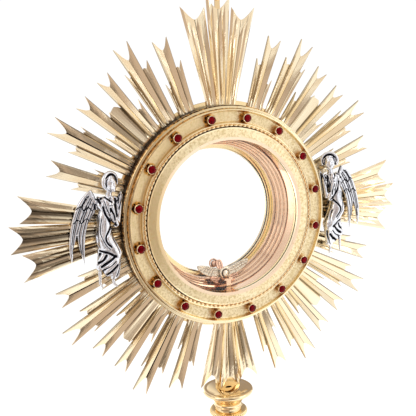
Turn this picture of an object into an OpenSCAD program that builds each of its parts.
// Sunburst altar monstrance: weighted foot, stem and knop, a round case for the
// host with a glass front and a hinged glass door behind, a luna clip on a rail,
// sixteen set stones, rays in twenty-eight clusters and two angels.
// +Z is up, the front faces -Y, and the origin is the middle of the foot's underside.

/* [Head] */
// Radius of the circle of stones, from which the head is laid out
stone_circle_r = 97; // [95:0.5:99]
// Height of the window's centre above the table
axis_h = 468; // [455:1:500]
// Clear radius of the front window
window_r = 75.3; // [74:0.1:76]
// Number of set stones round the case
stone_count = 16; // [8:4:16]
// Radius of a stone
stone_r = 3.9; // [3:0.1:4.2]
// Height of a stone's collet above the case
collet_h = 8; // [6:0.5:10]

/* [Sunburst] */
// Thickness of the rays
ray_t = 3; // [2.5:0.1:3.5]
// Radius of the longest rays, at the top, left and right
long_ray_r = 211; // [200:1:215]
// Radius of the bottom rays, which end above the capital
bottom_ray_r = 183; // [175:1:184]
// Radius of the screws that hold the rays
ray_screw_r = 1.2; // [1:0.1:1.4]

/* [Stem] */
// Radius of the foot at the table
foot_r = 95; // [85:1:105]
// Height of the foot
foot_h = 60; // [56:1:64]
// Radius of the knop
knop_r = 31; // [24:0.5:34]
// Radius of the stem tubes at their ends
stem_r = 12; // [10:0.5:13]
// Radius of the tie rod that clamps the stem
rod_r = 4; // [3:0.1:4]

/* [Case] */
// Outer radius of the case's front rim
case_r = 108.6; // [108:0.1:109]
// Thickness of both glasses
glass_t = 2; // [1.5:0.1:2]
// Radial clearance of the hinge pins in their knuckles
pin_fit = 0.05; // [0.02:0.01:0.08]
// Radius of the door's hinge pin
hinge_pin_r = 1.5; // [1.3:0.1:1.6]

/* [Luna] */
// Half span of the winged clip
wing_span = 29; // [26:0.5:30]
// Lean of the clip's rear half while it stands open
clip_lean = 22; // [18:1:24]
// Running clearance between the carriage and its rail
rail_fit = 0.15; // [0.1:0.05:0.25]

/* [Hidden] */
CLUSTERS = ["a", "b", "c"];
QUADRANTS = ["upper_right", "lower_right", "lower_left", "upper_left"];
SIDES = ["top", "right", "bottom", "left"];
$fn = 96;

GOLD = "#e8c27a";
PALE_GOLD = "#f2d79a";
SILVER = "#c9c9cf";
STEEL = "#8f9296";

// Depths along Y, front negative
ray_back_y = -5.1;
ray_front_y = ray_back_y - ray_t;
ring_back_y = -2.1;
stone_front_y = -25;
trough_y = -16.3;
lip_y = -20.3;
bezel_back_y = -14.3;
flange_y = -14.2;
flange_t = 1.4;
glass_y = -18.7;
moulding_y = -0.75;
moulding_len = 14.55;
plate_y = 18;
plate_t = 1.8;
door_y = 20.3;
door_t = 7.1;
door_lip_y = door_y + door_t - 1.5;

// Radii about the window's axis
drum_r = 105;
ring_in_r = 105.2;
ring_out_r = 113;
ray_in_r = case_r + 0.3;
band_r = 68.6;
door_r = 84;
view_r = 64;
ray_screw_pcd_r = 110.9;

// Stem levels above the table
felt_t = 2;
collar_h = 12;
knop_h = 56;
capital_h = 22;
capital_top = axis_h - bottom_ray_r - 1;
capital_low = capital_top - capital_h;
upper_collar_low = capital_low - collar_h;
stem_low = foot_h + collar_h;
knop_low = (stem_low + upper_collar_low - knop_h) / 2;
knop_mid = knop_low + knop_h / 2;
rod_hole_r = rod_r + 0.3;
neck_plate = 6;
tang_w = 26;
tang_t = 4.1;
slot_depth = 12;

// Door hinge and catch
hinge_x = 91;
hinge_y = 24;
knuckle_r = 3.2;
knuckle_half = 5.8;
leaf_half = 15;
catch_x = -91;
plunger_r = 2.5;

// Luna clip, about the window's axis
rail_top = -64.5;
rail_head = 9;
rail_neck = 5;
rail_head_t = 1.8;
clip_pin_r = 1;
clip_pin_y = 9.5;
clip_pin_z = -59.4;
carriage_top = -61.6;
carriage_y0 = 3.05;
carriage_y1 = 13;

// Sunburst: screw angles in a quadrant, and the shape of the side bundles in stone-circle radii
CLUSTER_SCREWS = [19.5, 30.8, 40.2, 49.8, 59.2, 70.5];
half_root = 0.16;
half_flare = 0.262;
slot_foot = 1.58;
slot_half = 0.017;
tang_screw_x = 8;
tang_screw_z = -109.1;
cross_low = long_ray_r - 10;

// Angels, placed by [distance from the stem's plane, height above the window's axis]
angel_y = -16.6;
stud_r = 2;
ANGEL_STUDS = [[126, 9], [126, -12]];

// Points on a cubic curve from a to d
function curve(a, b, c, d, n = 12) = [for (i = [0:n]) let (t = i / n)
    pow(1 - t, 3) * a + 3 * pow(1 - t, 2) * t * b + 3 * (1 - t) * t * t * c + t * t * t * d];
// Points on an arc about c from angle a0 to a1
function arc(c, r, a0, a1, n = 10) = [for (i = [0:n]) let (a = a0 + (a1 - a0) * i / n)
    c + r * [cos(a), sin(a)]];
// Point at an angle from the top, clockwise, and a radius in stone-circle radii
function polar(a, k) = stone_circle_r * k * [sin(a), cos(a)];

// Solid turned about the window's axis, from a profile of [radius, depth]
module turned(profile, facets = 180)
    translate([0, 0, axis_h]) rotate([-90, 0, 0]) rotate_extrude($fn = facets) polygon(profile);

// Ring about the window's axis between two radii and two depths
module flat_ring(r_in, r_out, y0, y1) turned([[r_in, y0], [r_out, y0], [r_out, y1], [r_in, y1]]);

// Plate parallel to the front, from an outline about the window's centre
module plate(y_back, t)
    translate([0, y_back, axis_h]) rotate([90, 0, 0]) linear_extrude(t) children();

// Round bar along Y
module bar_y(x, z, r, y0, y1)
    translate([x, y0, axis_h + z]) rotate([-90, 0, 0]) cylinder(r = r, h = y1 - y0, $fn = 48);

// Solid turned about the stem, from a profile of [radius, height]
module stem_turned(profile) rotate_extrude($fn = 120) polygon(profile);

// ---------------------------------------------------------------- foot and stem

module foot_felt()
    color("#5b1f24") difference() {
        cylinder(r = foot_r - 1, h = felt_t);
        translate([0, 0, -1]) cylinder(r = 18, h = felt_t + 2);
    }

module foot_weight()
    color("#3c3c3e") translate([0, 0, felt_t + 0.1]) difference() {
        cylinder(r = foot_r - 24, h = 8);
        translate([0, 0, -1]) cylinder(r = 18, h = 10);
    }

module foot_shell() {
    low = felt_t + 0.1;
    outer = curve([foot_r - 17, 17], [foot_r - 45, 20], [28, 27], [18, foot_h]);
    inner = curve([15.5, foot_h - neck_plate], [26, 24], [foot_r - 46, 16], [foot_r - 20, 14]);
    color(PALE_GOLD) stem_turned(concat(
        [[rod_hole_r, foot_h - neck_plate], [rod_hole_r, foot_h]],
        [for (i = [len(outer) - 1:-1:0]) outer[i]],
        [[foot_r - 17, 15], [foot_r - 10, 14], [foot_r - 10, 8]],
        arc([foot_r - 2, 6], 2, 90, 0, 6),
        [[foot_r, low], [foot_r - 2.5, low], [foot_r - 2.5, 5.5], [foot_r - 12.5, 5.5],
         [foot_r - 12.5, 12]],
        [for (i = [len(inner) - 1:-1:0]) inner[i]]));
}

module foot_bead_ring()
    color(GOLD) translate([0, 0, 9.8]) rotate_extrude($fn = 144)
        translate([foot_r - 8, 0]) circle(r = 1.7, $fn = 32);

module collar(z, r)
    translate([0, 0, z]) stem_turned(concat(
        [[rod_hole_r, 0.05], [stem_r + 2, 0.05]],
        arc([stem_r + 2, 2], 1.9, -80, 80, 8),
        [[stem_r + 1.6, 4.4]],
        arc([r - 2.6, 7.2], 2.6, -75, 75, 8),
        [[stem_r + 1.6, 10.2], [stem_r + 1, collar_h - 0.05], [rod_hole_r, collar_h - 0.05]]));

module stem_lower_collar() color(GOLD) collar(foot_h, 22);
module stem_upper_collar() color(GOLD) collar(upper_collar_low, 20);

module stem_tube(z0, z1, r_low, r_high) {
    mid = (z0 + z1) / 2;
    waist = min(r_low, r_high) - 3;
    color(PALE_GOLD) stem_turned(concat(
        [[rod_hole_r, z0 + 0.05], [r_low, z0 + 0.05]],
        curve([r_low, z0 + 3], [waist, z0 + 12], [waist, mid], [waist, mid], 8),
        curve([waist, mid + 1], [waist, mid + 2], [waist, z1 - 12], [r_high, z1 - 3], 8),
        [[r_high, z1 - 0.05], [rod_hole_r, z1 - 0.05]]));
}

module stem_lower() stem_tube(stem_low, knop_low, stem_r + 2, stem_r);
module stem_upper() stem_tube(knop_low + knop_h, upper_collar_low, stem_r, stem_r + 1);

module knop() {
    neck = stem_r + 2;
    color(PALE_GOLD) translate([0, 0, knop_mid]) stem_turned(concat(
        [[rod_hole_r, 0.05 - knop_h / 2], [neck, 0.05 - knop_h / 2]],
        arc([neck, 2.5 - knop_h / 2], 2.4, -80, 80, 6),
        curve([neck - 1, -21], [neck + 4, -17], [knop_r, -15], [knop_r - 1, -3.2]),
        arc([knop_r - 2, 0], 3.2, -80, 80, 10),
        curve([knop_r - 1, 3.2], [knop_r, 15], [neck + 4, 17], [neck - 1, 21]),
        arc([neck, knop_h / 2 - 2.5], 2.4, -80, 80, 6),
        [[neck, knop_h / 2 - 0.05], [rod_hole_r, knop_h / 2 - 0.05]]));
}

module capital()
    color(GOLD) difference() {
        translate([0, 0, capital_low]) stem_turned(concat(
            [[rod_r + 0.05, 0.05], [stem_r + 2, 0.05]],
            curve([stem_r + 2, 3], [stem_r + 3, 10], [20, 12], [24, 16]),
            arc([24, 18.5], 2.4, -70, 90, 8),
            [[20, capital_h - 0.05], [0, capital_h - 0.05], [0, 9], [rod_r + 0.05, 9]]));
        translate([-tang_w / 2 - 0.2, -tang_t / 2 - 0.1, capital_top - slot_depth])
            cube([tang_w + 0.4, tang_t + 0.2, slot_depth + 1]);
    }

module tie_rod()
    color(STEEL) translate([0, 0, foot_h - neck_plate - 9])
        cylinder(r = rod_r, h = capital_low + 8.5 - foot_h + neck_plate + 9, $fn = 48);

module tie_nut()
    color(STEEL) translate([0, 0, foot_h - neck_plate - 6.6]) difference() {
        cylinder(r = 7.5, h = 6.5, $fn = 6);
        translate([0, 0, -1]) cylinder(r = rod_r + 0.05, h = 9, $fn = 48);
    }

// ---------------------------------------------------------------- sunburst

module tang_screw_holes(r) for (side = [-1, 1])
    bar_y(side * tang_screw_x, tang_screw_z, r, ray_back_y - 1, 6);

module head_tang()
    color(GOLD) difference() {
        translate([-tang_w / 2, -tang_t / 2, capital_top - slot_depth + 0.2])
            cube([tang_w, tang_t, bottom_ray_r - drum_r + slot_depth + 4]);
        translate([0, 0, axis_h]) rotate([90, 0, 0])
            cylinder(r = drum_r + 0.3, h = 20, center = true, $fn = 180);
        tang_screw_holes(2.05);
    }

module tang_screws()
    color(STEEL) for (side = [-1, 1]) {
        bar_y(side * tang_screw_x, tang_screw_z, 2, ray_back_y + 0.1, tang_t / 2 + 0.5);
        bar_y(side * tang_screw_x, tang_screw_z, 3.2, tang_t / 2 + 0.05, tang_t / 2 + 2.4);
    }

function screw_angles() = concat([for (side = [0, 90, 270]) for (d = [-4.5, 4.5]) side + d],
    [for (quadrant = [0:3]) for (a = CLUSTER_SCREWS) 90 * quadrant + a]);

module ray_screw_holes(r) for (a = screw_angles())
    bar_y(ray_screw_pcd_r * sin(a), ray_screw_pcd_r * cos(a), r, ray_back_y - 1.4, ring_back_y + 1);

module ray_ring()
    color(GOLD) difference() {
        flat_ring(ring_in_r, ring_out_r, ray_back_y + 0.05, ring_back_y);
        ray_screw_holes(ray_screw_r + 0.05);
        tang_screw_holes(2.05);
    }

module ray_screws()
    color(STEEL) for (a = screw_angles()) {
        x = ray_screw_pcd_r * sin(a);
        z = ray_screw_pcd_r * cos(a);
        bar_y(x, z, ray_screw_r, ray_back_y - 1.3, ring_back_y + 0.5);
        bar_y(x, z, ray_screw_r + 0.8, ring_back_y + 0.05, ring_back_y + 1.4);
    }

// Outline of a cluster, from its points along the tips as [angle, radius in stone-circle radii]
module cluster(tips) {
    root = ray_in_r / stone_circle_r;
    first = tips[0][0];
    last = tips[len(tips) - 1][0];
    polygon(concat([for (p = tips) polar(p[0], p[1])],
                   [for (i = [0:8]) polar(last + (first - last) * i / 8, root)]));
}

// Each cluster has a long ray with a swallowtail between two spurs. Angles are counted from the
// nearer of the quadrant's sides, and the quadrant's other half is the mirror image.
TIPS_NEAR = [[14.9, 1.62], [17.2, 1.56], [17.3, 1.87], [19.6, 1.765], [22, 1.87], [22.1, 1.4],
             [23.6, 1.46]];
TIPS_LONG = [[25.8, 1.745], [28.4, 1.685], [28.5, 1.99], [30.8, 1.835], [33.1, 1.99], [33.2, 1.685],
             [34.5, 1.745]];
TIPS_MIDDLE = [[35.6, 1.49], [38.1, 1.405], [38.2, 1.867], [40.3, 1.76], [42.4, 1.867], [42.5, 1.56]];
function mirrored(tips) = [for (i = [len(tips) - 1:-1:0]) [90 - tips[i][0], tips[i][1]]];

module ray_node(quadrant, letter)
    color(PALE_GOLD) difference() {
        plate(ray_back_y, ray_t) rotate(-90 * quadrant) {
            if (letter == "a") { cluster(TIPS_NEAR); cluster(TIPS_LONG); }
            if (letter == "b") cluster(concat(TIPS_MIDDLE, [[45, 1.605]], mirrored(TIPS_MIDDLE)));
            if (letter == "c") { cluster(mirrored(TIPS_NEAR)); cluster(mirrored(TIPS_LONG)); }
        }
        ray_screw_holes(ray_screw_r + 0.05);
    }

// Three bundles of rays at one of the four sides, each ending in a swallowtail
function half_width(k) = half_root + half_flare * (k - 1.13);
function bundle(u, k) = stone_circle_r * [u * half_width(k), k];

module side_outline(tip, outer_drop) {
    root = sqrt(pow(ray_in_r / stone_circle_r, 2) - pow(half_width(1.13), 2)) + 0.01;
    side_tip = tip - outer_drop;
    notch = 0.12;
    difference() {
        polygon([bundle(-1, root), bundle(-1, side_tip), bundle(-2 / 3, side_tip - notch),
                 bundle(-1 / 3, side_tip), bundle(-1 / 3, tip), bundle(0, tip - notch),
                 bundle(1 / 3, tip), bundle(1 / 3, side_tip), bundle(2 / 3, side_tip - notch),
                 bundle(1, side_tip), bundle(1, root)]);
        for (side = [-1, 1]) polygon([bundle(side / 3, slot_foot),
            bundle(side / 3, tip + 0.1) + [stone_circle_r * slot_half, 0],
            bundle(side / 3, tip + 0.1) - [stone_circle_r * slot_half, 0]]);
        circle(r = ray_in_r, $fn = 180);
    }
}

module angel_stud_holes() for (side = [-1, 1]) for (p = ANGEL_STUDS)
    bar_y(side * p[0], p[1], stud_r + 0.05, ray_front_y - 1, 0);

module side_rays(index) {
    tip = (index == 2 ? bottom_ray_r : long_ray_r) / stone_circle_r;
    drop = index == 2 ? 0.06 : 0.1;
    color(PALE_GOLD) difference() {
        plate(ray_back_y, ray_t) rotate(-90 * index) side_outline(tip, drop);
        ray_screw_holes(ray_screw_r + 0.05);
        angel_stud_holes();
        if (index == 2) tang_screw_holes(2.05);
    }
}

module top_cross() {
    arm = 13;
    flare = 3.4;
    waist = 1.9;
    mid = cross_low + 32;
    foot = cross_low + 8;
    top = mid + 13;
    color(GOLD) {
        plate(-4.6, 3) polygon([[-flare, foot], [-waist, mid - waist - 8], [-waist, mid - waist],
            [-arm, mid - flare], [-arm, mid + flare], [-waist, mid + waist], [-flare, top],
            [flare, top], [waist, mid + waist], [arm, mid + flare], [arm, mid - flare],
            [waist, mid - waist], [waist, mid - waist - 8], [flare, foot]]);
        plate(-3, 2) translate([-2.5, cross_low - 18]) square([5, 34]);
        translate([0, -5.6, axis_h + foot]) sphere(r = 3.2, $fn = 48);
    }
}

// ---------------------------------------------------------------- case

module case_drum()
    color(GOLD) difference() {
        turned([[drum_r - 1.6, flange_y + flange_t + 0.1], [drum_r, flange_y + flange_t + 0.1],
                [drum_r, plate_y + plate_t], [band_r + 0.1, plate_y + plate_t],
                [band_r + 0.1, plate_y], [drum_r - 1.6, plate_y]]);
        bar_y(catch_x, 0, plunger_r + 0.4, plate_y - 1, plate_y + plate_t + 1);
    }

// Inside surface of the tunnel, shrunk by a gap: plain band, three round mouldings, rear band
function tunnel_inside(gap) = concat([[window_r - gap, flange_y], [window_r - gap, moulding_y]],
    [for (i = [1:24]) let (t = i / 24)
        [window_r - gap - 5.2 * t - 1.1 * abs(sin(540 * t)), moulding_y + moulding_len * t]],
    [[band_r - gap, plate_y - 0.1]]);

module tunnel_liner()
    color("#d9a57c") turned(concat(tunnel_inside(0),
        [[72, plate_y - 0.1], [window_r + 1.7, 1], [window_r + 1.7, flange_y + flange_t],
         [case_r - 1.6, flange_y + flange_t], [case_r - 1.6, flange_y]]));

module front_bezel()
    color(PALE_GOLD) difference() {
        turned(concat(
            [[window_r, glass_y - 0.1], [window_r, lip_y - 0.9], [window_r + 1.3, lip_y - 2.2],
             [86.2, -22.1], [86.9, -22.6], [87.6, -22.2], [88, -20.8], [90.2, -20.8]],
            arc([91, -20.2], 1.1, -135, -45, 5),
            curve([92.2, -20.4], [92.6, trough_y - 1.1], [93.2, trough_y - 0.7], [94.6, trough_y - 0.8], 6),
            curve([102.2, trough_y - 2.3], [103, trough_y - 2.4], [103.4, -20.5], [103.7, -22], 6),
            [[104.5, -22.1], [105.1, -21.5], [105.3, -17.6], [107.6, -17.4]],
            arc([case_r - 1.1, -16.2], 1.1, -80, 0, 4),
            [[case_r, ray_back_y - 0.05], [case_r - 1.4, ray_back_y - 0.05],
             [case_r - 1.4, bezel_back_y], [78.4, bezel_back_y], [78.4, glass_y - 0.1]]));
        at_stones() translate([0, 0, -26])
            cylinder(r = stone_r + 0.6, h = 26 + trough_y + 0.05, $fn = 48);
    }

module bead_ring()
    color(GOLD) translate([0, -22, axis_h]) rotate([-90, 0, 0]) rotate_extrude($fn = 180)
        translate([89.2, 0]) circle(r = 0.95, $fn = 24);

module at_stones() for (i = [0:stone_count - 1]) {
    a = 360 / stone_count * (i + 0.5);
    translate([stone_circle_r * sin(a), 0, axis_h + stone_circle_r * cos(a)]) rotate([-90, 0, 0]) children();
}

module stone_collets()
    color(GOLD) at_stones() translate([0, 0, stone_front_y + 0.7]) rotate_extrude($fn = 48)
        polygon([[0, 1.6], [stone_r - 0.1, 1.6], [stone_r + 0.1, 0], [stone_r + 0.5, 0],
                 [stone_r + 0.5, 2.6], [stone_r - 0.3, 3.2], [stone_r - 0.3, collet_h - 1.4],
                 [stone_r + 0.3, collet_h - 0.8], [stone_r + 0.3, collet_h], [0, collet_h]]);

module stones()
    color("#8c0a1c") at_stones() translate([0, 0, stone_front_y]) rotate_extrude($fn = 48)
        polygon([[0, 0], [stone_r - 1.6, 0], [stone_r - 0.15, 0.9], [stone_r - 0.3, 2.25], [0, 2.25]]);

module front_glass()
    color("#dfe8ea", 0.3) flat_ring(0, 78.2, glass_y, glass_y + glass_t);

module front_glass_ring()
    color(GOLD) flat_ring(window_r + 0.1, 78.3, glass_y + glass_t + 0.1, bezel_back_y);

// ---------------------------------------------------------------- rear door

module rear_door()
    color(PALE_GOLD) {
        difference() {
            union() {
                turned([[view_r, door_y + door_t], [view_r, door_lip_y], [band_r - 0.5, door_lip_y],
                        [band_r - 0.5, door_y], [door_r, door_y], [door_r, door_y + door_t - 1.5],
                        [door_r - 1.5, door_y + door_t]]);
                translate([-door_r - 13, door_y, axis_h - 6]) cube([16, 4.7, 12]);
                translate([door_r - 4, hinge_y - 1.5, axis_h - knuckle_half])
                    cube([hinge_x - door_r + 4, 3, 2 * knuckle_half]);
                translate([hinge_x, hinge_y, axis_h - knuckle_half])
                    cylinder(r = knuckle_r, h = 2 * knuckle_half, $fn = 48);
            }
            translate([hinge_x, hinge_y, axis_h - 20])
                cylinder(r = hinge_pin_r + pin_fit, h = 40, $fn = 48);
            bar_y(catch_x, 0, plunger_r + pin_fit, door_y - 1, door_y + 8);
        }
    }

module door_glass()
    color("#dfe8ea", 0.3) flat_ring(0, band_r - 0.6, door_lip_y - 0.1 - glass_t, door_lip_y - 0.1);

module door_glass_ring()
    color(GOLD) flat_ring(view_r + 1.4, band_r - 0.6, door_y + 1.1, door_lip_y - 0.2 - glass_t);

module hinge_leaf() {
    clear_half = knuckle_half + 0.3;
    leaf_y = plate_y + plate_t + 0.02;
    color(GOLD) difference() {
        union() {
            translate([hinge_x + 4, leaf_y, axis_h - leaf_half]) cube([8, 1.5, 2 * leaf_half]);
            for (side = [-1, 1]) translate([0, 0, axis_h + side * (leaf_half + clear_half) / 2]) {
                translate([hinge_x - 2.4, leaf_y, (clear_half - leaf_half) / 2])
                    cube([7, 1.5, leaf_half - clear_half]);
                translate([hinge_x - 2.4, leaf_y, (clear_half - leaf_half) / 2])
                    cube([4.8, hinge_y - leaf_y, leaf_half - clear_half]);
                translate([hinge_x, hinge_y, 0])
                    cylinder(r = knuckle_r, h = leaf_half - clear_half, center = true, $fn = 48);
            }
        }
        translate([hinge_x, hinge_y, axis_h - 20])
            cylinder(r = hinge_pin_r + pin_fit, h = 40, $fn = 48);
    }
}

module hinge_pin()
    color(STEEL) translate([hinge_x, hinge_y, axis_h - leaf_half - 0.5]) {
        cylinder(r = hinge_pin_r, h = 2 * leaf_half + 1.2, $fn = 48);
        translate([0, 0, 2 * leaf_half + 0.6]) cylinder(r = 2.4, h = 1.4, $fn = 48);
    }

// Pull knob with the plunger that enters the back of the case
module catch_knob() {
    knob_y = door_y + 5;
    color(GOLD) {
        bar_y(catch_x, 0, plunger_r, plate_y + 0.4, knob_y + 1);
        translate([catch_x, knob_y, axis_h]) rotate([-90, 0, 0]) rotate_extrude($fn = 64)
            polygon(concat([[0, 0], [4, 0], [4.2, 1.6]], arc([4.4, 4.4], 2, -70, 90, 8), [[0, 6.8]]));
    }
}

// ---------------------------------------------------------------- luna clip

module rail_box(w, z0, z1, y0, y1)
    translate([-w / 2, y0, axis_h + z0]) cube([w, y1 - y0, z1 - z0]);

// The rail's underside follows the tunnel
module luna_rail() {
    y0 = -10;
    y1 = plate_y - 0.4;
    color(GOLD) intersection() {
        union() {
            rail_box(rail_head, rail_top - rail_head_t, rail_top, y0, y1);
            rail_box(rail_neck, -80, rail_top - 0.5, y0, y1);
        }
        turned(concat([[0, flange_y]], tunnel_inside(0.06), [[0, plate_y - 0.1]]));
    }
}

module luna_carriage() {
    ear = 3;
    color(PALE_GOLD) difference() {
        union() {
            rail_box(13, -67.9, carriage_top, carriage_y0, carriage_y1);
            intersection() {
                rail_box(24, -66, carriage_top + 0.1, carriage_y0, carriage_y1);
                flat_ring(window_r - 12.2, window_r - 10.2, carriage_y0, carriage_y1);
            }
            for (side = [-1, 1])
                translate([side * 8 - ear / 2, clip_pin_y - 2, axis_h + carriage_top - 2])
                    cube([ear, 4, clip_pin_z - carriage_top + 3.8]);
        }
        rail_box(rail_head + 2 * rail_fit, rail_top - rail_head_t - rail_fit, rail_top + rail_fit, -5, 20);
        rail_box(rail_neck + 2 * rail_fit, -75, rail_top - 1, -5, 20);
        clip_pin_hole();
    }
}

module clip_pin_hole()
    translate([-15, clip_pin_y, axis_h + clip_pin_z]) rotate([0, 90, 0])
        cylinder(r = clip_pin_r + pin_fit, h = 30, $fn = 48);

module luna_pin()
    color(STEEL) translate([-9.8, clip_pin_y, axis_h + clip_pin_z]) rotate([0, 90, 0])
        cylinder(r = clip_pin_r, h = 19.6, $fn = 48);

// Outline of one wing of the clip, from the middle of its top edge to its root
function wing_side(span) = concat([[3, -57.6]],
    curve([6, -57.4], [12, -54.5], [0.6 * span, -50.8], [span, -50.2], 8),
    curve([span - 0.6, -53], [span - 3, -58], [span - 9, -62.5], [7, -64], 8));

module luna_front() {
    side = wing_side(wing_span);
    color(PALE_GOLD) plate(3, 2)
        polygon(concat(side, [for (i = [len(side) - 1:-1:0]) [-side[i][0], side[i][1]]]));
}

module cherub_head(y, z, r, facing, x = 0)
    translate([x, y, axis_h + z]) {
        sphere(r = r, $fn = 48);
        translate([0, -facing * r * 0.5, r * 0.35]) sphere(r = r * 0.95, $fn = 48);
    }

module luna_cherub()
    color(GOLD) difference() {
        cherub_head(-1.4, -60.2, 4, -1);
        plate(14, 13) square(200, center = true);
    }

module leaning() translate([0, clip_pin_y, axis_h + clip_pin_z]) rotate([-clip_lean, 0, 0])
    translate([0, -clip_pin_y, -axis_h - clip_pin_z]) children();

module luna_rear()
    color(PALE_GOLD) difference() {
        union() {
            leaning() plate(clip_pin_y + 0.8, 1.8)
                translate([-3.6, clip_pin_z + 1.45]) square([7.2, 8.7]);
            translate([-6, clip_pin_y, axis_h + clip_pin_z]) rotate([0, 90, 0])
                cylinder(r = clip_pin_r + 0.8, h = 12, $fn = 48);
        }
        clip_pin_hole();
    }

module luna_rear_cherub()
    color(GOLD) difference() {
        leaning() cherub_head(clip_pin_y + 3.4, -52.4, 4, 1, -4.2);
        leaning() plate(clip_pin_y + 0.85, 20) square(200, center = true);
    }

// ---------------------------------------------------------------- angels

module blob(x, z, r, y = angel_y) translate([x, y, axis_h + z]) sphere(r = r, $fn = 24);

outer_wing = concat([[121, 22], [122, 31], [131.8, 37.6]],
    curve([136.5, 39.5], [146, 36], [158, 12], [158.8, -10], 8),
    [[157.5, -27], [154.5, -11], [149.6, 0], [149.2, -9], [145.4, -30.5], [143.8, -6]],
    curve([141.6, 8], [139, 14], [134, 19], [128, 20], 4));
inner_wing = concat([[120, 22], [109.6, 12], [109.2, 24]],
    curve([107.6, 32], [105, 40], [104.2, 48], [107.4, 51.5], 6), [[111, 42], [118, 31]]);

// Standing angel turned towards the window, on the +X side
module angel_form() {
    hull() { blob(121.5, 25, 6.6); blob(126.5, -6, 7.9); }
    hull() { blob(126.5, -6, 7.9); blob(117, -22, 6.4); }
    hull() { blob(117.5, -22, 6.2); blob(120.5, -41, 5.2); blob(132, -34, 4.4); }
    hull() { blob(121, 25, 4.4, -19); blob(115.6, 7.5, 3, -20); }
    hull() { blob(115.6, 7.5, 3, -20); blob(120.6, 29.5, 2.8, -20.5); }
    hull() { blob(131.4, -36, 1.8); blob(132.2, -49.6, 1.7); }
    hull() { blob(119.6, -43, 1.8); blob(117.6, -51, 1.7); }
    blob(120, 33, 4);
    blob(119, 42.6, 7.4);
    blob(119.4, 46, 8);
    plate(-9.4, 3.4) polygon(outer_wing);
    plate(-9.4, 3.4) polygon(inner_wing);
    for (p = ANGEL_STUDS) bar_y(p[0], p[1], stud_r, angel_y, -2.2);
}

module angel_right() color(SILVER) angel_form();
module angel_left() color(SILVER) mirror([1, 0, 0]) angel_form();

module angel_nuts()
    color(STEEL) for (side = [-1, 1]) for (p = ANGEL_STUDS)
        translate([side * p[0], ray_back_y + 0.05, axis_h + p[1]]) rotate([-90, 0, 0]) difference() {
            cylinder(r = 3.6, h = 2.2, $fn = 6);
            translate([0, 0, -1]) cylinder(r = stud_r + 0.05, h = 5, $fn = 48);
        }

foot_felt();
foot_weight();
foot_shell();
foot_bead_ring();
stem_lower_collar();
stem_lower();
knop();
stem_upper();
stem_upper_collar();
capital();
tie_rod();
tie_nut();
head_tang();
tang_screws();
ray_ring();
ray_screws();
for (i = [0:3]) side_rays(i);
for (i = [0:3]) for (letter = CLUSTERS)
    ray_node(i, letter);
case_drum();
tunnel_liner();
front_bezel();
bead_ring();
stone_collets();
stones();
front_glass();
front_glass_ring();
luna_rail();
rear_door();
door_glass();
door_glass_ring();
hinge_leaf();
hinge_pin();
catch_knob();
luna_carriage();
luna_front();
luna_cherub();
luna_pin();
luna_rear();
luna_rear_cherub();
angel_left();
angel_right();
angel_nuts();
top_cross();
